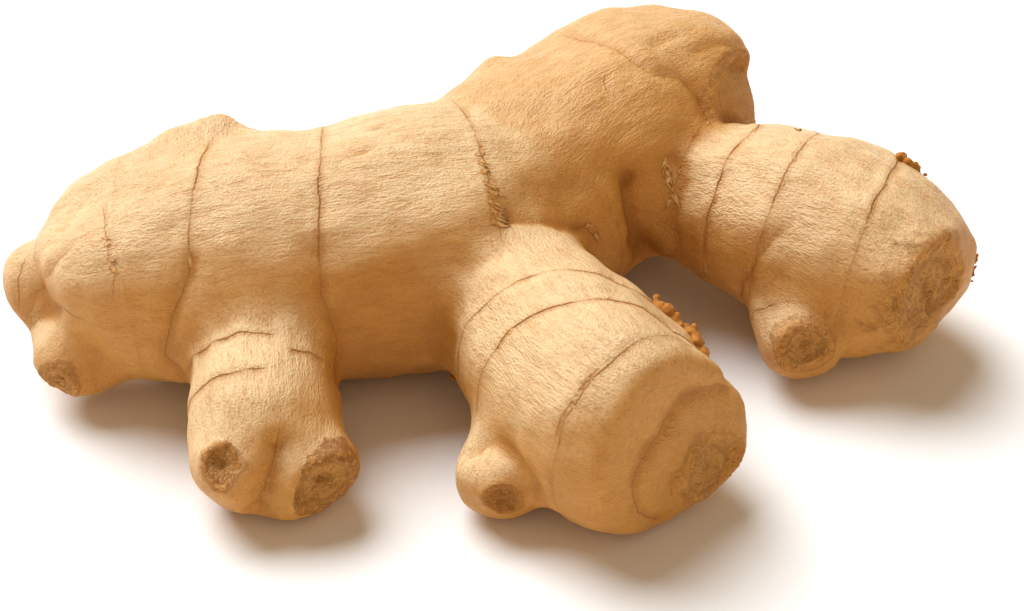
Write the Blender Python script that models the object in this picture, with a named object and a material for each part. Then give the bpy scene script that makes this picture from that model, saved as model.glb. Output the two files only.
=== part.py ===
"""A fresh ginger rhizome, grown as one solid piece and lying on a table.

The rhizome is a thick main stem with three fingers, and each finger or end has
smaller knobs of its own.  Every limb is a loft along a curved centre line that
starts inside its parent.  The limbs are fused by a voxel remesh, softened, and
trimmed flat where they rest on the table.
"""

import math
from dataclasses import dataclass

import bmesh
import bpy
import numpy as np
from mathutils import Vector, noise

MM = 0.001

# Lengths of the limbs, seen from above along their centre lines.
STEM_LENGTH = 66 * MM
CROWN_LENGTH = 54 * MM
LEFT_FINGER_LENGTH = 40 * MM
FRONT_FINGER_LENGTH = 57 * MM
RIGHT_FINGER_LENGTH = 65 * MM
END_KNOB_LENGTH = 15 * MM
LEFT_KNOB_LENGTH = 17 * MM
LEFT_TWIN_LENGTH = 14 * MM
RIGHT_TWIN_LENGTH = 17 * MM
FRONT_KNOB_LENGTH = 27 * MM
RIGHT_KNOB_LENGTH = 23 * MM
BACK_BUD_LENGTH = 15 * MM

# Girths: the thickness of each limb where it is fullest.
STEM_GIRTH = 40 * MM
CROWN_GIRTH = 40 * MM
LEFT_FINGER_GIRTH = 23 * MM
FRONT_FINGER_GIRTH = 36 * MM
RIGHT_FINGER_GIRTH = 33 * MM
END_KNOB_GIRTH = 15 * MM
LEFT_KNOB_GIRTH = 14 * MM
LEFT_TWIN_GIRTH = 16 * MM
RIGHT_TWIN_GIRTH = 16 * MM
FRONT_KNOB_GIRTH = 14 * MM
RIGHT_KNOB_GIRTH = 14 * MM
BACK_BUD_GIRTH = 14 * MM

# Surface of the fused solid.
VOXEL = 1.5 * MM
SMOOTHING_FACTOR = 0.5
SMOOTHING_STEPS = 8
TRIANGLES = 7600
FOOT_TRIM = 1.2 * MM
LUMP_HEIGHT = 0.5 * MM
LUMP_LENGTH = 14 * MM

RING_STEP = 1.5 * MM
RING_SIDES = 36
# How far along a limb, as a share of its length, its direction is measured.
TANGENT_REACH = 0.01

SKIN_COLOUR = (0.72, 0.48, 0.25, 1.0)
SKIN_ROUGHNESS = 0.6


@dataclass
class Limb:
    """One limb. heading is its first direction in degrees from +X towards +Y,
    and turn is how far that swings along its length.  Each row of stations is
    (share of the length, width and height as shares of the girth, clearance
    under the belly in metres)."""

    name: str
    parent: str
    sprout: float
    heading: float
    turn: float
    length: float
    girth: float
    stations: tuple


LIMBS = (
    Limb("stem", "", 0.0, -2, 24, STEM_LENGTH, STEM_GIRTH, (
        (-0.06, 0.50, 0.50, 6 * MM),
        (0.00, 0.74, 0.74, 4 * MM),
        (0.15, 0.90, 0.88, 2 * MM),
        (0.35, 0.97, 0.97, 1 * MM),
        (0.60, 1.00, 1.00, 0 * MM),
        (0.85, 1.00, 0.98, 1 * MM),
        (1.00, 0.74, 0.74, 4 * MM),
    )),
    Limb("end_knob", "stem", 0.02, 165, 0, END_KNOB_LENGTH, END_KNOB_GIRTH, (
        (0.00, 1.10, 1.10, 8 * MM),
        (0.60, 0.96, 0.96, 8 * MM),
        (0.90, 0.80, 0.80, 8 * MM),
        (1.00, 0.56, 0.56, 9 * MM),
    )),
    Limb("left_knob", "stem", 0.09, -137, 0, LEFT_KNOB_LENGTH, LEFT_KNOB_GIRTH, (
        (0.00, 1.30, 1.30, 6 * MM),
        (0.55, 1.05, 1.05, 3 * MM),
        (0.88, 0.92, 0.92, 1 * MM),
        (1.00, 0.62, 0.62, 2 * MM),
    )),
    Limb("back_bud", "stem", 0.24, 90, 0, BACK_BUD_LENGTH, BACK_BUD_GIRTH, (
        (0.00, 2.00, 1.60, 16 * MM),
        (0.60, 1.60, 1.30, 21 * MM),
        (1.00, 0.90, 0.80, 28 * MM),
    )),
    Limb("crown", "stem", 0.90, 60, -45, CROWN_LENGTH, CROWN_GIRTH, (
        (0.00, 0.86, 0.86, 2 * MM),
        (0.20, 0.98, 0.98, 0 * MM),
        (0.50, 1.02, 1.02, 1 * MM),
        (0.72, 0.96, 0.96, 3 * MM),
        (0.90, 0.78, 0.80, 7 * MM),
        (1.00, 0.58, 0.62, 10 * MM),
    )),
    Limb("left_finger", "stem", 0.40, -89, 0, LEFT_FINGER_LENGTH, LEFT_FINGER_GIRTH, (
        (0.00, 1.25, 1.20, 6 * MM),
        (0.50, 1.03, 1.00, 2 * MM),
        (0.80, 0.98, 0.96, 0 * MM),
        (1.00, 0.62, 0.62, 2 * MM),
    )),
    Limb("left_twin", "left_finger", 0.72, -110, 0, LEFT_TWIN_LENGTH, LEFT_TWIN_GIRTH, (
        (0.00, 1.00, 1.00, 2 * MM),
        (0.60, 1.00, 1.00, 1 * MM),
        (0.90, 0.84, 0.84, 1 * MM),
        (1.00, 0.60, 0.60, 2 * MM),
    )),
    Limb("right_twin", "left_finger", 0.66, -56, 0, RIGHT_TWIN_LENGTH, RIGHT_TWIN_GIRTH, (
        (0.00, 1.00, 1.00, 2 * MM),
        (0.60, 1.04, 1.04, 0 * MM),
        (0.92, 0.92, 0.92, 0 * MM),
        (1.00, 0.74, 0.74, 1 * MM),
    )),
    Limb("front_finger", "stem", 0.91, -75, 30, FRONT_FINGER_LENGTH, FRONT_FINGER_GIRTH, (
        (0.00, 0.74, 0.80, 4 * MM),
        (0.35, 0.74, 0.82, 2 * MM),
        (0.68, 0.94, 0.96, 0 * MM),
        (0.88, 1.00, 0.98, 0 * MM),
        (1.00, 0.82, 0.84, 3 * MM),
    )),
    Limb("front_knob", "front_finger", 0.50, -112, 0, FRONT_KNOB_LENGTH, FRONT_KNOB_GIRTH, (
        (0.00, 1.30, 1.30, 3 * MM),
        (0.60, 1.05, 1.05, 1 * MM),
        (0.90, 0.84, 0.84, 1 * MM),
        (1.00, 0.55, 0.55, 2 * MM),
    )),
    Limb("right_finger", "crown", 0.42, -14, -22, RIGHT_FINGER_LENGTH, RIGHT_FINGER_GIRTH, (
        (0.00, 0.78, 0.78, 8 * MM),
        (0.32, 0.66, 0.70, 8 * MM),
        (0.58, 0.94, 0.94, 3 * MM),
        (0.78, 1.00, 1.00, 0 * MM),
        (0.92, 0.86, 0.88, 2 * MM),
        (1.00, 0.68, 0.72, 4 * MM),
    )),
    Limb("right_knob", "right_finger", 0.60, -90, 0, RIGHT_KNOB_LENGTH, RIGHT_KNOB_GIRTH, (
        (0.00, 1.50, 1.50, 4 * MM),
        (0.60, 1.10, 1.10, 3 * MM),
        (0.92, 0.90, 0.90, 2 * MM),
        (1.00, 0.82, 0.82, 2 * MM),
    )),
)

STEM_START = Vector((-64 * MM, 10.5 * MM, 0))


def clear_scene():
    for old in list(bpy.data.objects):
        bpy.data.objects.remove(old)


class CentreLine:
    """The centre line of a limb: a circular arc seen from above, at the height
    that keeps the belly of each station at its clearance over the table."""

    STRAIGHT_TURN = 1e-6

    def __init__(self, limb, parent):
        self.limb = limb
        self.shares, widths, heights, clearances = np.array(limb.stations).T
        self.half_widths = widths * limb.girth / 2
        self.half_heights = heights * limb.girth / 2
        self.levels = clearances + self.half_heights
        self.start = STEM_START
        if parent:
            self.start = parent.point(limb.sprout)
            self.levels[0] = self.start.z

    def point(self, share):
        """The centre at this share of the length, past either end as well."""
        heading = math.radians(self.limb.heading)
        turn = math.radians(self.limb.turn) or self.STRAIGHT_TURN
        radius = self.limb.length / turn
        swung = heading + turn * share
        return Vector((
            self.start.x + radius * (math.sin(swung) - math.sin(heading)),
            self.start.y - radius * (math.cos(swung) - math.cos(heading)),
            self.smooth(self.levels, share),
        ))

    def smooth(self, values, share):
        """A value between stations, on a curve with no kink at a station."""
        slopes = np.gradient(values, self.shares)
        i = int(np.clip(np.searchsorted(self.shares, share) - 1, 0, len(values) - 2))
        gap = self.shares[i + 1] - self.shares[i]
        t = (share - self.shares[i]) / gap
        return (
            (2 * t**3 - 3 * t**2 + 1) * values[i]
            + (t**3 - 2 * t**2 + t) * gap * slopes[i]
            + (3 * t**2 - 2 * t**3) * values[i + 1]
            + (t**3 - t**2) * gap * slopes[i + 1]
        )

    def ring(self, share):
        """The outline of the limb's section at this share of the length."""
        behind = self.point(max(share - TANGENT_REACH, self.shares[0]))
        ahead = self.point(min(share + TANGENT_REACH, 1))
        along = ahead - behind
        across = along.cross(Vector((0, 0, 1))).normalized()
        upward = across.cross(along).normalized()
        centre = self.point(share)
        half_width = self.smooth(self.half_widths, share)
        half_height = self.smooth(self.half_heights, share)
        for side in range(RING_SIDES):
            angle = 2 * math.pi * side / RING_SIDES
            yield (
                centre
                + across * half_width * math.cos(angle)
                + upward * half_height * math.sin(angle)
            )


def loft(bm, line):
    """Adds a limb to bm as a closed tube of rings."""
    count = math.ceil(line.limb.length / RING_STEP) + 1
    rings = [
        [bm.verts.new(point) for point in line.ring(share)]
        for share in np.linspace(line.shares[0], 1, count)
    ]
    for near, far in zip(rings, rings[1:]):
        for side in range(RING_SIDES):
            following = (side + 1) % RING_SIDES
            bm.faces.new((near[side], far[side], far[following], near[following]))
    bm.faces.new(rings[0])
    bm.faces.new(reversed(rings[-1]))


def lofted_limbs():
    """One mesh that holds every limb as its own overlapping tube."""
    lines = {}
    bm = bmesh.new()
    for limb in LIMBS:
        lines[limb.name] = CentreLine(limb, lines.get(limb.parent))
        loft(bm, lines[limb.name])
    bmesh.ops.recalc_face_normals(bm, faces=bm.faces)
    mesh = bpy.data.meshes.new("limbs")
    bm.to_mesh(mesh)
    bm.free()
    return mesh


def fused(mesh):
    """The limbs as one closed skin, softened where they meet."""
    shape = bpy.data.objects.new("limbs", mesh)
    bpy.context.collection.objects.link(shape)
    remesh = shape.modifiers.new("fuse", "REMESH")
    remesh.mode = "VOXEL"
    remesh.voxel_size = VOXEL
    soften = shape.modifiers.new("soften", "SMOOTH")
    soften.factor = SMOOTHING_FACTOR
    soften.iterations = SMOOTHING_STEPS
    skin = evaluated_copy(shape)
    bpy.data.objects.remove(shape)
    return skin


def evaluated_copy(shape):
    graph = bpy.context.evaluated_depsgraph_get()
    return bpy.data.meshes.new_from_object(shape.evaluated_get(graph))


def grow_lumps(skin):
    """Raises and lowers the skin a little, as uneven growth does."""
    for vertex in skin.vertices:
        height = noise.noise(vertex.co / LUMP_LENGTH) * LUMP_HEIGHT
        vertex.co += vertex.normal * height


def thinned(skin):
    """The same skin in about TRIANGLES triangles, finer where it bends."""
    shape = bpy.data.objects.new("skin", skin)
    bpy.context.collection.objects.link(shape)
    shape.modifiers.new("triangles", "TRIANGULATE")
    decimate = shape.modifiers.new("thin", "DECIMATE")
    skin.calc_loop_triangles()
    decimate.ratio = min(1.0, TRIANGLES / len(skin.loop_triangles))
    result = evaluated_copy(shape)
    bpy.data.objects.remove(shape)
    return result


def rest_on_table(skin):
    """Puts the middle of the solid's box over the origin, and trims the lowest
    bellies to flat feet at z = 0."""
    bm = bmesh.new()
    bm.from_mesh(skin)
    lowest = min(vertex.co.z for vertex in bm.verts)
    bmesh.ops.translate(bm, verts=bm.verts, vec=(0, 0, -lowest - FOOT_TRIM))
    cut = bmesh.ops.bisect_plane(
        bm,
        geom=bm.verts[:] + bm.edges[:] + bm.faces[:],
        plane_co=(0, 0, 0),
        plane_no=(0, 0, -1),
        clear_outer=True,
    )
    rims = [item for item in cut["geom_cut"] if isinstance(item, bmesh.types.BMEdge)]
    bmesh.ops.holes_fill(bm, edges=rims)
    xs = [vertex.co.x for vertex in bm.verts]
    ys = [vertex.co.y for vertex in bm.verts]
    middle = Vector((min(xs) + max(xs), min(ys) + max(ys), 0)) / 2
    bmesh.ops.translate(bm, verts=bm.verts, vec=-middle)
    bmesh.ops.recalc_face_normals(bm, faces=bm.faces)
    bm.to_mesh(skin)
    bm.free()


def skin_material():
    material = bpy.data.materials.new("ginger_skin")
    material.use_nodes = True
    shader = material.node_tree.nodes["Principled BSDF"]
    shader.inputs["Base Color"].default_value = SKIN_COLOUR
    shader.inputs["Roughness"].default_value = SKIN_ROUGHNESS
    shader.inputs["Metallic"].default_value = 0.0
    return material


def main():
    clear_scene()
    skin = fused(lofted_limbs())
    grow_lumps(skin)
    skin = thinned(skin)
    rest_on_table(skin)
    skin.shade_smooth()
    skin.materials.append(skin_material())
    skin.name = "ginger_rhizome"
    rhizome = bpy.data.objects.new("ginger_rhizome", skin)
    bpy.context.collection.objects.link(rhizome)


main()
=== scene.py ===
"""Looks for a fresh ginger rhizome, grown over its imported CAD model.

The rhizome is one continuous skin.  A fine copy of the CAD solid is shaped in
the directions of its own limbs: rings of old leaf scars run around each limb,
wrinkles run along it, and its tips end in cut faces and corky scars.  Tufts of
old sheath, ring scales and root crusts lie on the skin as pieces of their own.
"""

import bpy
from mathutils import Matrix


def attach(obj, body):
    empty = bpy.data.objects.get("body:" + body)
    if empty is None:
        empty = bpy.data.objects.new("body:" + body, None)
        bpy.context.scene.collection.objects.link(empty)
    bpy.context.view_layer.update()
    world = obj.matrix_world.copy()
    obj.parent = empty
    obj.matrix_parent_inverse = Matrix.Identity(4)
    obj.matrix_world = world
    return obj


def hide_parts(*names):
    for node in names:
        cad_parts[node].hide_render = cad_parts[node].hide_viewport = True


bl_info = {
    "name": "Fresh Ginger Rhizome",
    "version": (1, 0, 0),
    "blender": (4, 5, 0),
    "location": "View3D > Sidebar > Ginger",
    "description": "Grows the skin, rings, scars and fibres of a ginger rhizome over its CAD model",
    "category": "Object",
}

import itertools
import math
from dataclasses import dataclass

import bpy
import numpy as np
from mathutils import Vector
from mathutils.bvhtree import BVHTree

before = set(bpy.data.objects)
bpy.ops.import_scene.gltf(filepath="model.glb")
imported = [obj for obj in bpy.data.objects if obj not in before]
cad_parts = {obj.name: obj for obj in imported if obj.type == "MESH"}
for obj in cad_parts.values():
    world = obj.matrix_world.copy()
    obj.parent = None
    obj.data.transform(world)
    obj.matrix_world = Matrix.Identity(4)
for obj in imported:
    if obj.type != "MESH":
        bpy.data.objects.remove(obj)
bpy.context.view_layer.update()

MM = 0.001
NODE = "ginger_rhizome"
SKIN = "rhizome_skin"
LINE_STEPS = 60
FAR = 1.0  # metres, further off than anything on the rhizome

# Hollows and valleys are measured against a copy of the skin that is averaged
# this many times, and count in full where the skin lies this deep under it.
HOLLOW_BLURS = 120
HOLLOW_DEPTH = 0.75 * MM
VALLEY_BLURS = 400
VALLEY_DEPTH = 1.5 * MM

# Painted light: the side that is painted paler, as if it faced the key light, judged on a copy of the skin
# that is averaged this many times, and how much less of that painted light some limbs get.
PAINTED_LIGHT_SIDE = (-0.35, 0.25, 0.9)
PAINTED_LIGHT_BLURS = 20
DIMMER_LIMBS = {"crown": 0.45, "end_knob": 0.3, "left_knob": 0.3}

# A ring is whole where its limb's share of the skin is over the first of these
# and gone where it is under the second.  Its reach is in millimetres.
RING_SHARES = (0.45, 0.12)
RING_REACH = 10

# Where the two lights stand, as directions, and how wide they are in degrees.
KEY_PLACE = (-0.44, 0.47, 0.86)
KEY_SPREAD = 48
FILL_PLACE = (0.45, -0.85, 0.20)
FILL_SPREAD = 120
CAMERA_TARGET = Vector((2.66, -13.26, 20.0)) * MM
FLOOR_SIZE = 6.0

# The slopes of the noise, picked by mixing a grid corner's place with large primes.
NOISE_PRIMES = (73856093, 19349663, 83492791)
NOISE_SLOPES = np.random.default_rng(7).normal(size=(4093, 3))
NOISE_SLOPES /= np.linalg.norm(NOISE_SLOPES, axis=1, keepdims=True)


# ---------------------------------------------------------------- limbs


class Limb:
    """A stem, finger or knob: a smooth centre line with a radius, from knots of
    (x, y, z, radius) in millimetres that run from inside its parent to its tip.
    It is kept as LINE_STEPS places, each with its own tangent, side and up."""

    def __init__(self, *knots):
        knots = np.array(knots, float) * MM
        share = np.linspace(0, 1, len(knots))
        fine = np.linspace(0, 1, LINE_STEPS)
        smooth = [np.polyval(np.polyfit(share, column, 4), fine) for column in knots.T]
        self.centres = np.stack(smooth[:3], axis=1)
        self.radii = smooth[3]
        steps = np.linalg.norm(np.diff(self.centres, axis=0), axis=1)
        self.along = np.concatenate([[0], np.cumsum(steps)])
        self.length = self.along[-1]
        tangents = np.gradient(self.centres, self.along, axis=0)
        self.tangents = unit(tangents)
        self.sides = unit(np.cross((0, 0, 1), self.tangents))
        self.ups = np.cross(self.tangents, self.sides)

    def at(self, columns, along):
        """The rows of columns at these lengths along the limb."""
        along = np.clip(along, 0, self.length)
        if columns.ndim == 1:
            return np.interp(along, self.along, columns)
        return np.stack([np.interp(along, self.along, c) for c in columns.T], axis=-1)

    def unbend(self, points):
        """Each point as (length along the limb, offset to its side, offset up)."""
        nearest = ((self.centres**2).sum(axis=1) - 2 * points @ self.centres.T).argmin(axis=1)
        offset = points - self.centres[nearest]
        along = self.along[nearest] + np.einsum("ij,ij->i", offset, self.tangents[nearest])
        offset = points - self.at(self.centres, along)
        side = np.einsum("ij,ij->i", offset, self.at(self.sides, along))
        up = np.einsum("ij,ij->i", offset, self.at(self.ups, along))
        return np.stack([along, side, up], axis=1)

    def standoff(self, unbent):
        """How far each unbent point lies outside this limb's own surface."""
        past = unbent[:, 0] - np.clip(unbent[:, 0], 0, self.length)
        reach = np.sqrt(unbent[:, 1] ** 2 + unbent[:, 2] ** 2 + past**2)
        return reach - self.at(self.radii, unbent[:, 0])

    def spot(self, along, turn):
        """A point on the limb's own surface, and the way out of it there."""
        out = math.cos(turn) * self.at(self.sides, along) + math.sin(turn) * self.at(self.ups, along)
        return self.at(self.centres, along) + out * self.at(self.radii, along), out


def unit(vectors):
    return vectors / np.maximum(np.linalg.norm(vectors, axis=-1, keepdims=True), 1e-9)


LIMBS = {
    "stem": Limb(
        (-65, -2, 15, 10), (-48, -2, 19, 18), (-30, 0, 20, 20), (-13, 3, 20, 21), (3, 9, 18, 15)),
    "end_knob": Limb(
        (-60, -2, 19, 8), (-64, -1, 17, 8), (-67, 0, 15, 7), (-71, 1, 14, 7), (-75, 1, 13, 4)),
    "left_knob": Limb(
        (-55, -2, 19, 9), (-59, -5, 14, 8), (-62, -8, 10, 7), (-65, -11, 8, 7), (-68, -14, 6, 4)),
    "back_bud": Limb(
        (-46, -2, 19, 13), (-46, 2, 24, 12), (-46, 5, 28, 11), (-46, 9, 31, 9), (-46, 13, 33, 6)),
    "crown": Limb(
        (-3, 7, 19, 17), (5, 18, 19, 20), (15, 27, 21, 20), (26, 34, 22, 19), (39, 39, 22, 12)),
    "left_finger": Limb(
        (-35, -1, 20, 14), (-35, -11, 16, 13), (-35, -21, 13, 12), (-34, -31, 11, 12), (-34, -41, 8, 7)),
    "left_twin": Limb(
        (-34, -30, 11, 8), (-36, -33, 10, 8), (-37, -36, 9, 8), (-38, -40, 8, 8), (-39, -43, 6, 5)),
    "right_twin": Limb(
        (-35, -27, 12, 8), (-32, -31, 10, 8), (-30, -35, 8, 8), (-27, -38, 7, 8), (-25, -42, 6, 6)),
    "front_finger": Limb(
        (-2, 7, 19, 14), (2, -7, 17, 14), (9, -19, 16, 15), (16, -31, 17, 18), (26, -42, 17, 15)),
    "front_knob": Limb(
        (9, -19, 16, 9), (6, -26, 12, 8), (3, -32, 9, 8), (1, -38, 7, 7), (-2, -44, 5, 4)),
    "right_finger": Limb(
        (11, 24, 20, 13), (27, 19, 19, 11), (42, 13, 18, 14), (56, 6, 16, 17), (70, -3, 15, 12)),
    "right_knob": Limb(
        (48, 10, 18, 10), (48, 5, 14, 9), (48, -1, 11, 8), (48, -7, 9, 7), (48, -13, 7, 6)),
}


@dataclass
class Ring:
    """A leaf-scar ring around a limb.  Lengths are millimetres along the limb.
    lean is how much further along the ring lies on the limb's back side than on
    its front side, and arc holds the degrees of turn that it covers: 0 is the
    back side, 90 the top and 180 the front side of a limb that runs along +X."""

    limb: str
    place: float
    lean: float = 0.0
    strength: float = 1.0
    arc: tuple = (-180, 180)


RINGS = (
    Ring("stem", 10.7, 0.0, 0.2),
    Ring("stem", 22.3, 3.6, 0.9, (-150, 154)),
    Ring("stem", 39.6, 2.4, 0.9, (-150, 154)),
    Ring("stem", 61.5, 0.5, 0.8, (20, 150)),
    Ring("end_knob", 6.5, -1.5, 0.6, (-170, 60)),
    Ring("end_knob", 11.6, 0.0, 0.6, (-170, 60)),
    Ring("left_knob", 10.5, -3.0, 0.6, (-160, 40)),
    Ring("crown", 14.0, 0.0, 0.4, (-200, 20)),
    Ring("crown", 33.0, 0.0, 0.6, (-190, 30)),
    Ring("left_finger", 22.0, 0.8, 1.0, (75, 290)),
    Ring("left_finger", 24.6, 0.6, 1.0, (-70, 72)),
    Ring("left_finger", 29.6, 0.5, 0.9, (84, 300)),
    Ring("right_twin", 7.6, -0.8, 0.9),
    Ring("front_finger", 30.5, 7.0, 0.9),
    Ring("front_finger", 41.8, 8.0, 1.0),
    Ring("front_finger", 51.3, 0.6, 0.7),
    Ring("right_finger", 21.5, 0.0, 0.4),
    Ring("right_finger", 28.5, 0.5, 1.0),
    Ring("right_finger", 37.8, 0.0, 0.7),
    Ring("right_finger", 52.0, -2.8, 0.9),
    Ring("right_knob", 18.8, 2.5, 0.5),
)


@dataclass
class Fold:
    """A crease or an open ring that follows points on the skin.  All lengths are
    in millimetres, and line is how strong the dark line along its bottom is."""

    depth: float
    width: float
    line: float
    points: tuple


FOLDS = (
    Fold(1.8, 2.0, 0.9, ((-31, -39, 18), (-32, -43, 13), (-34, -45, 8), (-35, -43, 2))),
    Fold(2.6, 1.8, 1.0, ((21, 9, 31), (21, 7, 24), (23, 7, 17), (25, 11, 8))),
    Fold(0.4, 1.3, 0.6, ((10, 37, 37), (17, 29, 41), (22, 23, 40), (26, 22, 38))),
    Fold(0.6, 1.4, 0.8, ((24, 22, 39), (30, 24, 37), (33, 22, 34), (35, 19, 30))),
    Fold(0.4, 1.2, 0.6, ((30, 28, 38), (34, 31, 38), (41, 38, 33))),
    Fold(0.5, 1.2, 0.9, ((0, -8, 33), (6, -6, 30), (11, -3, 27), (14, 1, 24), (17, 2, 19))),
    Fold(0.25, 1.0, 0.8, ((-72, -5, 11), (-71, -6, 17), (-68, -12, 25), (-65, -12, 30), (-63, -11, 32))),
    Fold(0.2, 0.9, 0.7, ((-72, -1, 21), (-74, -4, 17), (-73, -5, 12))),
    Fold(0.5, 1.2, 0.9, ((-72, -6, 10), (-70, -9, 15), (-66, -14, 20), (-63, -16, 20), (-61, -18, 21))),
    Fold(0.8, 1.5, 0.9, ((-45, -15, 33), (-46, -18, 28), (-49, -20, 21), (-50, -20, 15), (-47, -21, 10))),
    Fold(0.5, 1.5, 0.6, (
        (-27, -13, 34), (-26, -16, 31), (-26, -18, 27), (-25, -19, 23), (-23, -21, 17), (-23, -24, 11))),
    Fold(0.4, 1.4, 0.9, ((39, 2, 7), (39, -2, 16), (41, -3, 22), (43, -3, 25), (46, -2, 28))),
    Fold(0.5, 1.4, 0.6, ((28, 14, 31), (30, 10, 26), (28, 8, 21), (29, 7, 13))),
    Fold(0.8, 1.6, 1.0, (
        (36, -31, 19), (32, -36, 23), (27, -40, 24), (22, -46, 18),
        (20, -48, 14), (21, -48, 9), (26, -44, 2))),
    Fold(0.9, 1.8, 0.5, (
        (-5, -39, 10), (-4, -38, 13), (0, -39, 15), (3, -43, 16), (6, -46, 14), (6, -45, 8))),
    Fold(0.9, 0.9, 1.0, ((69, -10, 19), (71, -8, 17), (72, -8, 14), (71, -9, 11))),
    Fold(0.8, 0.8, 1.0, ((72, -6, 18), (74, -4, 15), (73, -6, 12), (73, -6, 9))),
    Fold(0.6, 0.8, 0.9, ((66, -12, 14), (69, -11, 12), (71, -9, 8))),
    Fold(0.2, 0.8, 0.8, ((-21, 5, 40), (-18, 5, 40), (-16, 6, 40))),
    Fold(0.2, 0.8, 0.7, ((-24, -2, 39), (-20, -1, 39), (-17, 1, 39))),
    Fold(0.2, 0.8, 0.6, ((3, 15, 39), (7, 17, 40))),
    Fold(0.2, 0.9, 0.6, ((-38, 1, 39), (-37, -2, 39))),
    Fold(0.3, 1.2, 0.6, ((-61, -4, 35), (-59, -9, 34), (-58, -14, 32), (-57, -17, 29), (-57, -19, 24))),
    Fold(0.4, 1.2, 0.5, ((19, 22, 41), (17, 19, 41), (19, 15, 40))),
    Fold(0.4, 1.2, 0.5, ((24, 26, 41), (27, 30, 41), (31, 33, 40))),
)


@dataclass
class Nudge:
    """Pushes the skin around a point, all in millimetres."""

    centre: tuple
    push: tuple
    radius: float


NUDGES = (
    Nudge((-65, -4, 33), (0.7, 0.0, -2.8), 9),
    Nudge((-75, 1, 14), (-1.2, 0.0, 0.4), 7),
    Nudge((-73, -6, 10), (-1.0, -0.5, -0.3), 5),
    Nudge((-71, -14, 9), (-1.3, -0.8, -0.2), 6),
    Nudge((-42, 11, 37), (0.0, 1.2, 2.4), 4),
    Nudge((-54, 5, 37), (0.0, 0.4, 0.5), 7),
    Nudge((-15, 16, 36), (0.0, 0.2, 0.5), 10),
    Nudge((-8, 22, 33), (-0.5, 0.5, 0.9), 7),
    Nudge((7, 31, 37), (0.0, -0.8, -2.2), 12),
    Nudge((0, 33, 35), (-0.8, 0.8, 1.6), 4),
    Nudge((15, 42, 36), (0.0, 0.3, 0.5), 8),
    Nudge((56, 18, 30), (0.0, -0.3, -0.5), 6),
    Nudge((28, 43, 35), (0.3, 0.5, 0.4), 14),
    Nudge((42, 26, 25), (-2.8, 0.0, 0.0), 9),
    Nudge((42, 34, 30), (1.4, 0.3, 0.0), 8),
    Nudge((57, 18, 29), (0.0, 0.6, 1.1), 7),
    Nudge((70, 1, 28), (-1.4, -0.2, -2.2), 8),
    Nudge((76, -7, 13), (2.6, -1.0, -0.3), 6),
    Nudge((74, 3, 12), (1.0, -0.4, -0.3), 6),
    Nudge((70, -12, 6), (-1.0, 0.5, 0.5), 6),
    Nudge((36, -36, 8), (3.2, -1.1, 0.0), 8),
    Nudge((29, -28, 31), (-2.0, -0.3, -2.4), 10),
    Nudge((34, -26, 21), (-2.2, -0.8, -1.2), 5),
    Nudge((36, -31, 17), (0.8, 0.0, 0.2), 4),
    Nudge((34, -37, 6), (1.0, -0.7, -0.3), 6),
    Nudge((-3, -45, 5), (1.0, 0.8, 0.3), 5),
    Nudge((-7, -40, 10), (-0.6, 0.0, 0.0), 5),
    Nudge((2, -47, 4), (0.0, 0.8, 0.4), 5),
    Nudge((-43, -42, 5), (0.8, 0.4, 0.0), 6),
    Nudge((-40, -43, 9), (0.0, -0.9, 0.0), 4),
    Nudge((-29, -43, 6), (0.0, -0.6, 0.0), 4),
)


@dataclass
class Scar:
    """A tip where the rhizome was cut or a shoot fell off.  centre and radius are
    in millimetres and facing is the way it looks.  cork runs from 0, a clean cut,
    to 1, dark and crumbly, bare is how much of the skin is gone, rim how dark its
    outer band is, sink how deep its middle lies, and ragged how far its outline
    strays from a circle, as a share of the radius."""

    limb: str
    centre: tuple
    facing: tuple
    radius: float
    cork: float
    bare: float
    rim: float
    sink: float = 0.4
    ragged: float = 0.08


SCARS = (
    Scar("right_twin", (-24.5, -42, 9), (0.44, -0.89, -0.10), 6.2, 0.20, 0.90, 1.0, 0.8),
    Scar("left_twin", (-40, -43, 14), (-0.25, -0.72, 0.65), 3.7, 0.70, 0.60, 0.3, 0.8, 0.25),
    Scar("front_knob", (1, -46, 8), (0.05, -0.97, 0.15), 3.2, 0.85, 0.75, 0.3, 0.5, 0.30),
    Scar("front_finger", (31, -38, 10), (0.72, -0.68, 0.10), 6.2, 0.15, 0.40, 0.3, 0.4, 0.25),
    Scar("right_finger", (68, -8, 18), (0.78, -0.60, 0.05), 9.5, 0.45, 0.45, 0.25, 0.5, 0.30),
    Scar("right_knob", (48, -13, 11), (0.08, -0.99, 0.05), 5.0, 0.20, 0.80, 0.45, 0.6),
    Scar("left_knob", (-67, -16, 8), (-0.50, -0.79, -0.30), 3.8, 0.35, 0.70, 0.7, 0.4),
    Scar("crown", (39, 29, 28), (0.87, -0.30, 0.39), 10.0, 0.00, 0.12, 0.5, -1.2, 0.12),
)


@dataclass
class Crust:
    """A crumbly remnant of a root, strung between two points on the skin.  All
    lengths are in millimetres."""

    start: tuple
    end: tuple
    grains: int
    size: float


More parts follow.
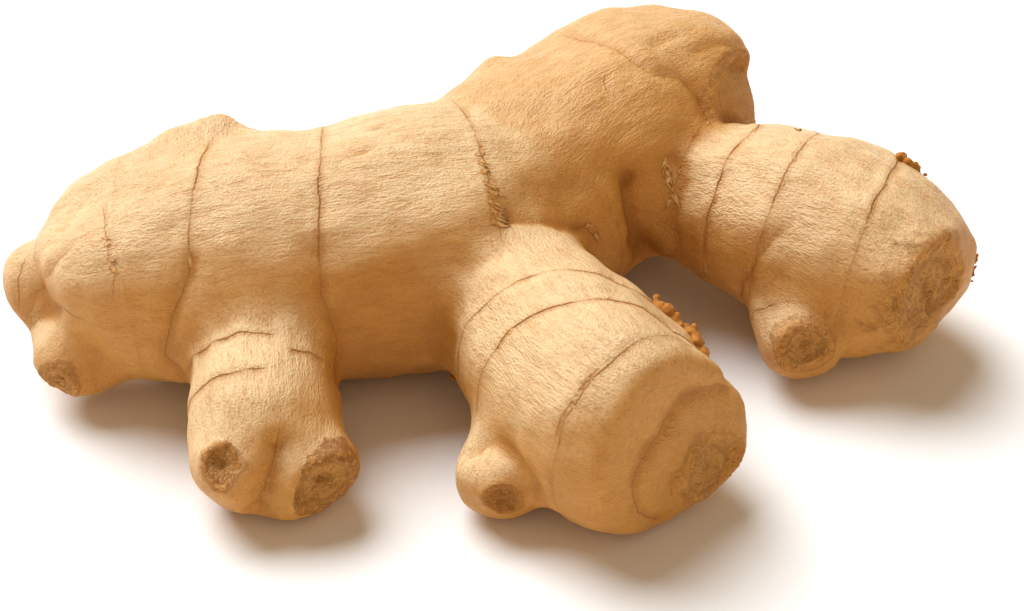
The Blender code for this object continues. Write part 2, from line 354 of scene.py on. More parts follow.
CRUSTS = (
    Crust((24.6, -17.8, 24.2), (26.2, -19.6, 24.0), 14, 1.15),
    Crust((26.2, -19.6, 24.0), (29.5, -23.0, 22.8), 22, 0.75),
    Crust((29.5, -23.0, 22.8), (32.8, -26.5, 21.2), 34, 1.0),
    Crust((63.5, 14.0, 28.5), (66.0, 12.0, 27.5), 12, 0.85),
    Crust((66.0, 12.0, 27.5), (68.0, 10.0, 26.0), 5, 0.4),
    Crust((47, 18, 32), (49, 18, 32), 5, 0.3),
    Crust((75.5, 4, 17), (75, 3, 12), 10, 0.35),
    Crust((-62, 14, 20), (-58, 17, 18), 12, 0.6),
    Crust((-8, -17, 8), (-4, -15, 5), 12, 0.6),
    Crust((20, 46, 14), (25, 47, 12), 12, 0.7),
    Crust((-30, 18, 9), (-25, 19, 8), 12, 0.6),
)


@dataclass
class Tuft:
    """Papery scraps of old sheath, rooted between two points on the skin and
    laid along a direction.  All lengths are in millimetres."""

    start: tuple
    end: tuple
    lie: tuple
    scraps: int
    length: float
    width: float
    lift: float


TUFTS = (
    Tuft((-3, 1, 38), (-2, -4, 36), (1.0, -0.1, 0.0), 6, 1.3, 0.6, 0.1),
    Tuft((-2, -4, 36), (-1, -9, 32), (1.0, -0.3, 0.0), 16, 2.6, 0.8, 0.15),
    Tuft((26, 14, 30), (28, 8, 24), (0.2, -0.3, -1.0), 7, 2.4, 0.9, 0.25),
    Tuft((13, 1, 26), (16, 2, 22), (0.6, -0.8, 0.0), 3, 1.2, 0.9, 0.2),
    Tuft((-59, -12, 33), (-57, -17, 28), (0.9, 0.0, -0.3), 5, 1.2, 0.6, 0.2),
)


# ---------------------------------------------------------------- settings


def length_setting(name, description, default):
    return bpy.props.FloatProperty(name=name, description=description, default=default, unit="LENGTH")


def colour_setting(name, description, default):
    return bpy.props.FloatVectorProperty(
        name=name, description=description, default=default, subtype="COLOR", min=0, max=1)


class GingerSkinSettings(bpy.types.PropertyGroup):
    voxel: length_setting("Skin Detail", "Size of the faces of the skin", 0.63 * MM)
    ring_height: length_setting("Ring Height", "How far a leaf-scar ring stands out", 0.26 * MM)
    ring_pinch: length_setting("Ring Pinch", "How far a limb draws in at a ring", 0.45 * MM)
    wrinkle_height: length_setting("Wrinkle Height", "Height of the wrinkles along a limb", 0.10 * MM)
    # Painted light: the pale colour laid on the side that faces the key light, also the paler veins of the
    # sheath scraps.
    pale_and_lit_colour: colour_setting(
        "Dry Skin", "Colour of the smooth skin that dried on the upper side", (0.84, 0.60, 0.33))
    light_colour: colour_setting(
        "Light Skin", "Colour of the skin on the sides and below", (0.67, 0.315, 0.06))
    # Also the painted shade laid in hollows, in the low points of the grain and just past each ring's edge,
    # besides darker patches of the skin's own tone and the colour of corky scars and crusts.
    deep_colour: colour_setting(
        "Deep Skin", "Colour of the skin in hollows and folds", (0.49, 0.195, 0.028))
    ring_colour: colour_setting("Ring", "Colour of the lines of the leaf-scar rings", (0.46, 0.18, 0.03))
    cut_colour: colour_setting("Cut Face", "Colour of a dried cut face", (0.68, 0.33, 0.08))
    cork_colour: colour_setting("Cork", "Colour of a corky scar", (0.35, 0.135, 0.022))


class GingerStageSettings(bpy.types.PropertyGroup):
    lens: bpy.props.FloatProperty(name="Lens", description="Focal length in millimetres", default=100.0)
    elevation: bpy.props.FloatProperty(
        name="Elevation", description="Height of the camera above the horizon", default=math.radians(38.25),
        subtype="ANGLE")
    distance: length_setting("Distance", "From the camera to its target", 0.433)
    key_strength: bpy.props.FloatProperty(
        name="Key Strength", description="Strength of the key light", default=4.65)
    key_colour: colour_setting("Key", "Colour of the key light", (0.93, 0.97, 1.0))
    fill_strength: bpy.props.FloatProperty(
        name="Fill Strength", description="Strength of the fill light from the front", default=0.80)
    fill_colour: colour_setting("Fill", "Colour of the fill light", (1.0, 0.82, 0.58))
    sky_strength: bpy.props.FloatProperty(
        name="Sky Strength", description="Brightness of the light from all round", default=0.27)
    sky_colour: colour_setting("Sky", "Colour of the light from all round", (1.0, 0.74, 0.48))
    floor_colour: colour_setting("Floor", "Colour of the floor", (0.93, 0.93, 0.93))


# ---------------------------------------------------------------- shader maths


class Value:
    """A socket that takes part in arithmetic.  Each operator adds a Math node."""

    def __init__(self, sheet, socket):
        self.sheet = sheet
        self.socket = socket

    def __add__(self, other):
        return self.sheet.math("ADD", self, other)

    def __sub__(self, other):
        return self.sheet.math("SUBTRACT", self, other)

    def __mul__(self, other):
        return self.sheet.math("MULTIPLY", self, other)

    def __rsub__(self, other):
        return self.sheet.math("SUBTRACT", other, self)

    __radd__ = __add__
    __rmul__ = __mul__


class Sheet:
    """The node tree of one new material, with its Principled shader."""

    def __init__(self, name):
        self.material = bpy.data.materials.new(name)
        self.material.use_nodes = True
        self.tree = self.material.node_tree
        self.tree.nodes.clear()
        self.shader = self.node("ShaderNodeBsdfPrincipled")
        self.node("ShaderNodeOutputMaterial", Surface=self.shader.outputs["BSDF"])

    def node(self, kind, settings=None, **inputs):
        """A node of this type, with its settings made before its sockets are
        filled.  An underscore in a socket's name stands for a space."""
        made = self.tree.nodes.new(kind)
        for name, setting in (settings or {}).items():
            setattr(made, name, setting)
        for name, given in inputs.items():
            self.fill(made.inputs[name.replace("_", " ")], given)
        return made

    def fill(self, socket, given):
        given = getattr(given, "socket", given)
        if isinstance(given, bpy.types.NodeSocket):
            self.tree.links.new(given, socket)
        elif hasattr(given, "__len__") and len(given) == 3 and socket.type == "RGBA":
            socket.default_value = (*given, 1)
        else:
            socket.default_value = given

    def math(self, operation, *given):
        made = self.node("ShaderNodeMath", {"operation": operation})
        for socket, value in zip(made.inputs, given):
            self.fill(socket, value)
        return Value(self, made.outputs[0])

    def attribute(self, name):
        return self.node("ShaderNodeAttribute", {"attribute_name": name})

    def level(self, name):
        return Value(self, self.attribute(name).outputs["Fac"])

    def stretch(self, vector, factors):
        made = self.node("ShaderNodeVectorMath", {"operation": "MULTIPLY"})
        self.fill(made.inputs[0], vector)
        self.fill(made.inputs[1], factors)
        return made.outputs[0]

    def millimetres(self):
        """The place on the piece, in millimetres."""
        return self.stretch(self.node("ShaderNodeTexCoord").outputs["Object"], (1 / MM, 1 / MM, 1 / MM))

    def noise(self, vector, scale, detail=2.0, rough=0.5, warp=0.0):
        made = self.node(
            "ShaderNodeTexNoise", Vector=vector, Scale=scale, Detail=detail, Roughness=rough, Distortion=warp)
        return Value(self, made.outputs["Fac"])

    def fade(self, value, low, high):
        """0 below low and 1 above high, smooth between them."""
        smooth = {"interpolation_type": "SMOOTHSTEP"}
        made = self.node("ShaderNodeMapRange", smooth, Value=value, From_Min=low, From_Max=high)
        return Value(self, made.outputs[0])

    def blend(self, share, first, second):
        """The colour that goes from first to second as share goes from 0 to 1.  A
        Mix node keeps its colours in sockets 6 and 7, and their mixture in 2."""
        made = self.node("ShaderNodeMix", {"data_type": "RGBA"})
        for place, given in ((0, share), (6, first), (7, second)):
            self.fill(made.inputs[place], given)
        return made.outputs[2]

    def bump(self, height):
        """The normal of a surface raised by height in millimetres."""
        return self.node("ShaderNodeBump", Height=height, Distance=MM, Strength=1.0).outputs["Normal"]

    def finish(self, **inputs):
        for name, given in inputs.items():
            self.fill(self.shader.inputs[name.replace("_", " ")], given)
        return self.material


class SkinSheet(Sheet):
    """The skin's looks, with the patterns and marks that its layers share."""

    def __init__(self):
        super().__init__("ginger_skin_looks")
        self.place = self.millimetres()
        self.fibres = self.limb_noise((0.30, 1, 1), 3.0, 2.5, 0.6)
        self.wrinkles = self.limb_noise((0.26, 1, 1), 0.8, 3.0, 0.6)
        self.pebbles = self.noise(self.place, 3.2, 2.0, 0.55)
        self.crumbs = self.noise(self.place, 1.4, 3.0, 0.7)
        self.patch = self.noise(self.place, 0.28, 2.0, 0.6)
        self.cloud = self.noise(self.place, 0.07, 3.0, 0.55, 0.6)
        self.ring_gap = self.level("ring_gap")
        self.ring_wear = self.level("ring_wear")

    def limb_noise(self, factors, scale, detail, rough):
        """Noise in the directions of the limbs, mixed where two of them meet."""
        near, far = (
            self.noise(self.stretch(self.attribute(name).outputs["Vector"], factors), scale, detail, rough)
            for name in ("grain_near", "grain_far")
        )
        return far + (near - far) * self.level("grain_share")


def lit_and_shaded_skin(sheet, skin):
    """The colour of the skin where it is whole, with painted light on the side that faces the key light and
    painted shade in hollows and in the low points of the grain, and the greater of its dark random tone and
    its depth in a hollow.
    """
    tone = sheet.fade(sheet.cloud * 0.5 + sheet.patch * 0.25 + sheet.fibres * 0.25, 0.38, 0.66)
    shade = sheet.math("MAXIMUM", tone * 0.5, sheet.level("hollow"))
    uneven = (sheet.cloud - 0.5) * 0.5
    lightened = sheet.fade(sheet.level("painted_light") + uneven + (sheet.fibres - 0.5) * 0.35, 0.05, 0.95)
    colour = sheet.blend(lightened, skin.light_colour, skin.pale_and_lit_colour)
    # Painted shade: deeper colour in hollows and where the random tone is dark, less of it on the painted lit
    # side.
    colour = sheet.blend(shade * (1 - lightened * 0.55), colour, skin.deep_colour)
    # Painted shade in the low points of the grain, so that the grain shows where the light does not reach.
    grain = sheet.wrinkles * 0.35 + sheet.fibres * 0.35 + sheet.pebbles * 0.3
    return sheet.blend((1 - sheet.fade(grain, 0.38, 0.55)) * 0.5, colour, skin.deep_colour), shade


def ring_marks(sheet):
    """The line of each ring, the edge of the sheath that ends there, and a painted
    shade on the limb just beyond that edge.  The gap is in millimetres."""
    frayed_gap = sheet.ring_gap + (sheet.fibres - 0.5) * 0.35
    line = (1 - sheet.fade(sheet.math("ABSOLUTE", frayed_gap), 0.04, 0.24)) * sheet.ring_wear
    overlap = (1 - sheet.fade(frayed_gap, -0.12, 0.12)) * sheet.ring_wear
    beside = sheet.math("ABSOLUTE", sheet.ring_gap) + (sheet.patch - 0.5) * 1.2
    halo = (1 - sheet.fade(beside, 0.2, 1.6)) * sheet.ring_wear
    return line, overlap, halo * 0.45 * sheet.fade(sheet.ring_gap, -0.4, 0.2)


def scarred(sheet, skin, colour):
    """The colour with the scars laid over it, how far each point lies inside a
    scar, and the dark marks on the scars' faces."""
    reach = sheet.level("scar_reach")
    bare = sheet.level("bare")
    rim = sheet.level("rim")
    crumbs = sheet.crumbs

    swirl = sheet.noise(sheet.place, 0.48, 2.0, 0.5, 1.2)
    crinkle = 1 - sheet.fade(sheet.math("ABSOLUTE", swirl - 0.5), 0.004, 0.030)
    circles = sheet.math("SINE", reach * 13.0 + (sheet.patch - 0.5) * 5.0)
    crinkle = sheet.math("MAXIMUM", crinkle, sheet.fade(circles, 0.5, 1.0) * 0.7)
    slit = (1 - sheet.fade(reach + (swirl - 0.5) * 0.9, 0.05, 0.17)) * rim
    lines = sheet.math("MAXIMUM", crinkle * 0.7, slit) * sheet.fade(bare, 0.05, 0.4)
    band = sheet.fade(reach + (crumbs - 0.5) * 0.4, 0.58, 0.74) * sheet.fade(crumbs, 0.36, 0.60) * rim
    marks = sheet.math("MAXIMUM", lines, band)

    ground = sheet.blend(bare * 0.8, colour, skin.cut_colour)
    clean = sheet.blend(marks, ground, skin.cork_colour)
    corky = sheet.blend(sheet.fade(crumbs, 0.36, 0.58), skin.cork_colour, skin.deep_colour)
    face = sheet.blend(sheet.fade(sheet.level("cork") + (crumbs - 0.5) * 1.6, 0.40, 0.90), clean, corky)

    frayed_reach = reach + (sheet.patch - 0.5) * 0.3 + (crumbs - 0.5) * 0.25
    inside = 1 - sheet.fade(frayed_reach, 0.80, 1.04)
    edge = 1 - sheet.fade(sheet.math("ABSOLUTE", frayed_reach - 0.95), 0.01, 0.07)
    colour = sheet.blend(inside, colour, face)
    return sheet.blend(edge * (rim * 0.7 + 0.1), colour, skin.cork_colour), inside, marks


def skin_material(skin):
    sheet = SkinSheet()
    colour, shade = lit_and_shaded_skin(sheet, skin)
    line, overlap, ring_shade = ring_marks(sheet)
    # Painted shade on the limb just past each ring's edge.
    colour = sheet.blend(ring_shade, colour, skin.deep_colour)
    fleck = sheet.fade(sheet.noise(sheet.place, 0.8, 4.0, 0.75), 0.66, 0.72)
    colour = sheet.blend(fleck * 0.35, colour, skin.ring_colour)
    colour, inside, marks = scarred(sheet, skin, colour)
    colour = sheet.blend(line * 0.9, colour, skin.ring_colour)

    whole = sheet.fibres * 0.32 + sheet.wrinkles * 0.34 + sheet.pebbles * 0.22
    cut = sheet.crumbs * 1.1 + sheet.wrinkles * 0.2 + sheet.pebbles * 0.3 - marks * 0.35
    height = (1 - inside) * whole + overlap * 0.16 + inside * cut
    return sheet.finish(
        Base_Color=colour,
        Roughness=0.42 + (shade * 0.12 + inside * 0.3),
        Specular_IOR_Level=0.4,
        Subsurface_Weight=0.2,
        Subsurface_Radius=(3.0, 1.2, 0.4),
        Subsurface_Scale=MM,
        Normal=sheet.bump(height),
    )


def crust_material(skin):
    sheet = Sheet("root_crust_looks")
    place = sheet.millimetres()
    crumbs = sheet.noise(place, 1.1, 3.0, 0.65)
    grit = sheet.noise(place, 4.0, 2.0)
    share = sheet.fade(crumbs * 0.7 + grit * 0.3, 0.36, 0.62)
    return sheet.finish(
        Base_Color=sheet.blend(share, skin.cork_colour, skin.deep_colour),
        Roughness=0.7 + grit * 0.2,
        Specular_IOR_Level=0.3,
        Normal=sheet.bump(crumbs * 0.3 + grit * 0.15),
    )


def scrap_material(skin):
    sheet = Sheet("sheath_scrap_looks")
    veins = sheet.noise(sheet.millimetres(), 2.4, 3.0, 0.6)
    pale = sheet.blend(sheet.fade(veins, 0.4, 0.6) * 0.5, skin.light_colour, skin.pale_and_lit_colour)
    free = sheet.fade(sheet.level("scrap_span") + (veins - 0.5) * 1.2, 0.0, 0.6)
    return sheet.finish(
        Base_Color=sheet.blend(free, skin.ring_colour, pale),
        Roughness=0.5 + veins * 0.2,
        Specular_IOR_Level=0.4,
        Normal=sheet.bump(veins * 0.2),
    )


# ---------------------------------------------------------------- skin shape


def noise_at(points, size, seed=0):
    """Smooth noise of about -1 to 1 at each point, with bumps of about this size."""
    place = points / size + seed * 7.31
    cell = np.floor(place).astype(np.int64)
    offset = place - cell
    ease = offset * offset * (3 - 2 * offset)
    total = np.zeros(len(points))
    for corner in itertools.product((0, 1), repeat=3):
        mixed = (cell + corner) @ NOISE_PRIMES
        slope = NOISE_SLOPES[mixed % len(NOISE_SLOPES)]
        weight = np.prod(np.where(corner, ease, 1 - ease), axis=1)
        total += weight * np.einsum("ij,ij->i", slope, offset - corner)
    return 1.6 * total


def bell(distance, width):
    return np.exp(-((distance / width) ** 2))


def soft_step(value, low, high):
    t = np.clip((value - low) / (high - low), 0, 1)
    return t * t * (3 - 2 * t)


def read_vectors(mesh, field):
    vectors = np.empty(len(mesh.vertices) * 3)
    mesh.vertices.foreach_get(field, vectors)
    return vectors.reshape(-1, 3)


def read_points(mesh):
    return read_vectors(mesh, "co")


def read_normals(mesh):
    return read_vectors(mesh, "normal")


def read_indices(parts, field, each=1):
    """The whole numbers, each of them per part, that a mesh's parts hold."""
    indices = np.empty(len(parts) * each, int)
    parts.foreach_get(field, indices)
    return indices


def write_points(mesh, points):
    mesh.vertices.foreach_set("co", points.ravel())
    mesh.update()


def lift_to_floor(mesh):
    """Brings the points that dip under the floor up to it."""
    points = read_points(mesh)
    points[:, 2] = np.maximum(points[:, 2], 0)
    write_points(mesh, points)


def write_attribute(mesh, name, kind, domain, values):
    field = "vector" if kind == "FLOAT_VECTOR" else "value"
    attribute = mesh.attributes.new(name, kind, domain)
    attribute.data.foreach_set(field, np.ascontiguousarray(values, dtype=np.float32).ravel())


def skin_tree(mesh):
    """A tree that finds the nearest point of a mesh."""
    corners = read_indices(mesh.loops, "vertex_index")
    starts = read_indices(mesh.polygons, "loop_start")
    faces = np.split(corners, starts[1:])
    return BVHTree.FromPolygons(read_points(mesh).tolist(), [face.tolist() for face in faces])


def deselect_all():
    for thing in bpy.context.selected_objects:
        thing.select_set(False)


def activate(thing):
    deselect_all()
    bpy.context.view_layer.objects.active = thing
    thing.select_set(True)


def apply_modifiers(thing):
    activate(thing)
    for modifier in list(thing.modifiers):
        bpy.ops.object.modifier_apply(modifier=modifier.name)


def fine_copy(voxel):
    """A closed copy of the CAD solid with faces of about voxel, its facets
    smoothed away."""
    skin = bpy.data.objects.new(SKIN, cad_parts[NODE].data.copy())
    bpy.context.collection.objects.link(skin)
    skin.data.materials.clear()
    activate(skin)
    bpy.ops.object.mode_set(mode="EDIT")
    bpy.ops.mesh.select_all(action="SELECT")
    bpy.ops.mesh.remove_doubles(threshold=0.001 * MM)
    bpy.ops.object.mode_set(mode="OBJECT")
    remesh = skin.modifiers.new("fine", "REMESH")
    remesh.mode = "VOXEL"
    remesh.voxel_size = voxel
    soften = skin.modifiers.new("soften", "SMOOTH")
    soften.factor = 0.5
    soften.iterations = 50
    apply_modifiers(skin)
    return skin


class Sculptor:
    """The points of the skin in every limb's own directions."""

    def __init__(self, mesh):
        self.mesh = mesh
        self.measure()

    def measure(self):
        self.points = read_points(self.mesh)
        self.normals = read_normals(self.mesh)
        self.unbent = {name: limb.unbend(self.points) for name, limb in LIMBS.items()}
        standoffs = [LIMBS[name].standoff(unbent) for name, unbent in self.unbent.items()]
        standoffs = np.stack(standoffs, axis=1)
        nearest = standoffs.min(axis=1, keepdims=True)
        blur = 1.2 * MM
        weights = np.exp((nearest - standoffs) / blur)
        self.weights = weights / weights.sum(axis=1, keepdims=True)

    def move(self, heights):
        write_points(self.mesh, self.points + self.normals * heights[:, None])
        self.measure()

    def own(self, name):
        """A limb's share of each point of the skin."""
        return self.weights[:, list(LIMBS).index(name)]

    def turn(self, name):
        """Degrees around a limb, from its back side over its top."""
        unbent = self.unbent[name]
        return np.degrees(np.arctan2(unbent[:, 2], unbent[:, 1]))

    def ring_gap(self, ring, seed):
        """Signed distance past a ring, and how strong the ring is at each point."""
        gap = np.full(len(self.points), FAR)
        wear = np.zeros(len(self.points))
        own = self.own(ring.limb)
        along = self.unbent[ring.limb][:, 0]
        full, least = RING_SHARES
        close = np.abs(along - ring.place * MM) < (abs(ring.lean) + RING_REACH) * MM
        some = close & (own > least)
        place, wear[some] = ring_path(ring, seed, self.turn(ring.limb)[some])
        gap[some] = along[some] - place
        wear[some] *= soft_step(own[some], least, full)
        return gap, wear


def ring_path(ring, seed, turn):
    """Where a ring lies along its limb at these turns in degrees, and its wear."""
    angle = np.radians(turn)
    circle = np.stack([np.cos(angle), np.sin(angle), np.full_like(angle, seed * 0.37)], axis=1)
    wander = 0.9 * noise_at(circle, 0.9) + 0.35 * noise_at(circle, 0.25, 1) + 0.12 * noise_at(circle, 0.07, 2)
    middle, half = sum(ring.arc) / 2, (ring.arc[1] - ring.arc[0]) / 2
    off = np.abs((turn - middle + 180) % 360 - 180)
    within = 1 - soft_step(off, half - 10, half) if half < 180 else 1.0
    wear = 0.4 + 0.6 * soft_step(noise_at(circle, 0.3, 3), -0.4, 0.2)
    return (ring.place + ring.lean * np.cos(angle) + wander) * MM, ring.strength * within * wear


def internode_bulges(sculptor, pinch):
    """Draws each limb in at its rings, so that it swells between them."""
    waist = 3.2 * MM
    heights = np.zeros(len(sculptor.points))
    for seed, ring in enumerate(RINGS):
        gap, wear = sculptor.ring_gap(ring, seed)
        heights -= pinch * wear * bell(gap, waist)
    return heights


def nudged(points):
    """The points with every nudge added, fading out over its radius."""
    moved = points.copy()
    for nudge in NUDGES:
        distance = np.linalg.norm(points - np.array(nudge.centre) * MM, axis=1)
        moved += bell(distance, nudge.radius * MM)[:, None] * np.array(nudge.push) * MM
    return moved


def fold_path(fold, tree):
    """Points about a millimetre apart along a fold, on the skin."""
    knots = np.array(fold.points, float) * MM
    along = np.concatenate([[0], np.cumsum(np.linalg.norm(np.diff(knots, axis=0), axis=1))])
    even = np.linspace(0, along[-1], max(3, round(along[-1] / MM)))
    path = np.stack([np.interp(even, along, column) for column in knots.T], axis=1)
    path = np.array([tree.find_nearest(point)[0] for point in path])
    path[1:-1] = (path[:-2] + 2 * path[1:-1] + path[2:]) / 4
    return path


def fold_gap(path, points, normals):
    """Signed distance of each point from a path that is made to wander a little,
    and how far along the path it lies from the nearer end, which is 0 past the
    ends.  Points well away from the whole path count as far off."""
    margin = 8 * MM
    gap = np.full(len(points), FAR)
    inner = np.zeros(len(points))
    middle = (path.max(axis=0) + path.min(axis=0)) / 2
    reach = np.linalg.norm(path - middle, axis=1).max() + margin
    some = np.linalg.norm(points - middle, axis=1) < reach
    near = points[some]
    wander = [
        0.35 * noise_at(near, 2.5 * MM, 30 + axis) + 0.2 * noise_at(near, 0.9 * MM, 33 + axis)
        for axis in range(3)
    ]
    near = near + np.stack(wander, axis=1) * MM
    best = np.full(len(near), FAR)
    along = np.zeros(len(near))
    walked = 0.0
    for start, end in zip(path[:-1], path[1:]):
        line = end - start
        length = np.linalg.norm(line)
        share = np.clip((near - start) @ line / length**2, 0, 1)
        offset = near - start - share[:, None] * line
        distance = np.linalg.norm(offset, axis=1)
        side = np.where(np.einsum("ij,ij->i", np.cross(line, offset), normals[some]) < 0, -1, 1)
        closer = distance < np.abs(best)
        best = np.where(closer, distance * side, best)
        along = np.where(closer, walked + share * length, along)
        walked += length
    gap[some] = best
    inner[some] = np.minimum(along, walked - along)
    return gap, inner


def ring_edges(sculptor, height):
    """The lip and the groove of each ring and fold.  For the looks, also the
    signed distance from the nearest one and its wear, which fades out beside it."""
    heights = np.zeros(len(sculptor.points))
    nearest = np.full(len(sculptor.points), 6 * MM)
    worn = np.zeros(len(sculptor.points))

    def note(gap, wear):
        closer = (np.abs(gap) < np.abs(nearest)) & (wear > 0.02)
        nearest[closer] = gap[closer]
        worn[closer] = wear[closer]

    for seed, ring in enumerate(RINGS):
        gap, wear = sculptor.ring_gap(ring, seed)
        lip = bell(gap + 0.7 * MM, 0.75 * MM)
        groove = bell(gap - 0.2 * MM, 0.5 * MM)
        heights += height * wear * (lip - 0.6 * groove)
        note(gap, wear)
    tree = skin_tree(sculptor.mesh)
    for fold in FOLDS:
        gap, inner = fold_gap(fold_path(fold, tree), sculptor.points, sculptor.normals)
        taper = soft_step(inner, 0, 3 * MM)
        heights -= fold.depth * MM * taper * bell(gap, fold.width * MM)
        note(gap, fold.line * taper)
    worn *= 1 - soft_step(np.abs(nearest), 0.8 * MM, 3.0 * MM)
    return heights, nearest, worn


def wrinkle_heights(sculptor, height):
    """Wrinkles that run along the limbs, and the lumps of uneven growth."""
    heights = np.zeros(len(sculptor.points))
    for index, name in enumerate(LIMBS):
        own = sculptor.weights[:, index]
        some = own > 0.02
        along = sculptor.unbent[name][some] * (0.22, 1, 1)
        folds = 1 - np.abs(noise_at(along, 2.0 * MM, index))
        creases = noise_at(along, 0.9 * MM, index + 20)
        heights[some] += own[some] * height * (folds + 0.5 * creases)
    lumps = noise_at(sculptor.points, 9 * MM, 41) * 0.7 * MM
    dents = noise_at(sculptor.points, 4 * MM, 42) * 0.28 * MM
    return heights + lumps + dents


def scar_shift(scar, seed, points, depth, share, near):
    """How far each point near a scar moves along its facing.  depth is how far a
    point stands out of the scar's plane, share how far it lies from the middle."""
    inner = near & (share < 1.0)
    if not inner.any():
        raise RuntimeError(f"scar {seed} touches no skin")
    level = depth[inner].mean() + 0.15 * MM
    ease = 1 - soft_step(share, 0.7, 1.0)
    dish = -scar.sink * MM * (1 - soft_step(share, 0.1, 0.95))
    pit = -1.1 * scar.rim * MM * bell(share, 0.15)
    ridge = 0.35 * MM * bell(share - 0.62, 0.08) * scar.rim
    crumble = (0.2 + 0.4 * scar.cork) * MM * noise_at(points, 1.6 * MM, seed + 60)
    crumble += 0.25 * (scar.cork + scar.rim) * MM * noise_at(points, 0.9 * MM, seed + 70)
    crumble += 0.09 * scar.cork * scar.radius * MM * noise_at(points, 3 * MM, seed + 90)
    relief = (pit + ridge + crumble * ease) * min(1, 3 * scar.bare)
    shift = np.where(inner, (level + dish - depth) * ease + relief, 0)
    fray = 0.8 + 0.8 * noise_at(points, 1.4 * MM, seed + 80)
    return shift + np.where(near, 0.5 * scar.bare * MM * bell(share - 0.97, 0.45 / scar.radius) * fray, 0)


def scar_faces(sculptor):
    """Flattens the tips to the faces of their scars, each with a lip.  For the
    looks, also how far each point lies from its scar's middle, as a share of the
    radius, and that scar's own cork, bare and rim."""
    points = sculptor.points.copy()
    reach = np.full(len(points), 3.0)
    looks = {name: np.zeros(len(points)) for name in ("cork", "bare", "rim")}
    tree = skin_tree(sculptor.mesh)
    for seed, scar in enumerate(SCARS):
        facing = unit(np.array(scar.facing, float))
        radius = scar.radius * MM
        offset = points - np.array(tree.find_nearest(np.array(scar.centre) * MM)[0])
        depth = offset @ facing
        share = np.linalg.norm(offset - depth[:, None] * facing, axis=1) / radius
        share *= 1 + scar.ragged * (noise_at(points, 3.5 * MM, seed) + 0.4 * noise_at(points, 1.2 * MM, seed))
        near = (sculptor.own(scar.limb) > 0.35) & (share < 2.2)
        near &= (np.abs(depth) < 0.9 * radius) & (sculptor.normals @ facing > 0.1)
        points += scar_shift(scar, seed, points, depth, share, near)[:, None] * facing
        taken = near & (share < reach)
        reach = np.where(taken, share, reach)
        for name, values in looks.items():
            values[taken] = getattr(scar, name)
    return points, {"scar_reach": reach, **looks}


def blurred_points(mesh, rounds):
    """The points of a mesh, each averaged with its neighbours this many times."""
    count = len(mesh.vertices)
    first, second = read_indices(mesh.edges, "vertices", 2).reshape(-1, 2).T
    valence = np.bincount(first, minlength=count) + np.bincount(second, minlength=count)
    blurred = read_points(mesh)
    for _ in range(rounds):
        total = np.zeros_like(blurred)
        for axis in range(3):
            total[:, axis] = np.bincount(first, blurred[second, axis], count)
            total[:, axis] += np.bincount(second, blurred[first, axis], count)
        blurred = 0.5 * blurred + 0.5 * total / valence[:, None]
    return blurred


def hollows(mesh):
    """From 0 on ridges and open skin to 1 deep in folds, from how far each point
    lies under the average of its surroundings.  The looks paint shade by it."""
    rise = blurred_points(mesh, HOLLOW_BLURS) - read_points(mesh)
    sunk = np.einsum("ij,ij->i", rise, read_normals(mesh))
    return np.clip(sunk / HOLLOW_DEPTH, 0, 1)


def painted_light(sculptor):
    """Painted light: from 0 below to 1 on the side that faces the key light, which is painted paler.
    It is less in the valleys between limbs, which are painted in shade, and on a few limbs given their own
    share."""
    mesh = sculptor.mesh
    broad = mesh.copy()
    write_points(broad, blurred_points(mesh, PAINTED_LIGHT_BLURS))
    normals = read_normals(broad)
    bpy.data.meshes.remove(broad)
    rise = blurred_points(mesh, VALLEY_BLURS) - read_points(mesh)
    valley = np.clip(np.einsum("ij,ij->i", rise, normals) / VALLEY_DEPTH, 0, 1)
    dimmer = sum(share * sculptor.own(name) for name, share in DIMMER_LIMBS.items())
    lit = soft_step(normals @ unit(np.array(PAINTED_LIGHT_SIDE)), -0.25, 0.95)
    return lit * (1 - 0.7 * valley) * (1 - dimmer)


def write_grain(sculptor):
    """Gives each face corner its place in the directions of the face's nearest
    limb and of the next one, and the nearest one's share.  Each limb's places
    are shifted, so that no two limbs share a pattern."""
    mesh = sculptor.mesh
    corners = read_indices(mesh.loops, "vertex_index")
    sizes = read_indices(mesh.polygons, "loop_total")
    face = np.repeat(np.arange(len(sizes)), sizes)
    total = np.zeros((len(sizes), len(LIMBS)))
    for index in range(len(LIMBS)):
        total[:, index] = np.bincount(face, sculptor.weights[corners, index], len(sizes))
    order = np.argsort(-total, axis=1)
    near, far = order[face, 0], order[face, 1]
    places = np.stack(list(sculptor.unbent.values()), axis=1) / MM
    shifts = np.arange(len(LIMBS))[:, None] * np.array([31.0, 17.0, 11.0])
    near_weight = sculptor.weights[corners, near]
    far_weight = sculptor.weights[corners, far]
    write_attribute(mesh, "grain_near", "FLOAT_VECTOR", "CORNER", places[corners, near] + shifts[near])
    write_attribute(mesh, "grain_far", "FLOAT_VECTOR", "CORNER", places[corners, far] + shifts[far])
    write_attribute(mesh, "grain_share", "FLOAT", "CORNER", near_weight / (near_weight + far_weight))


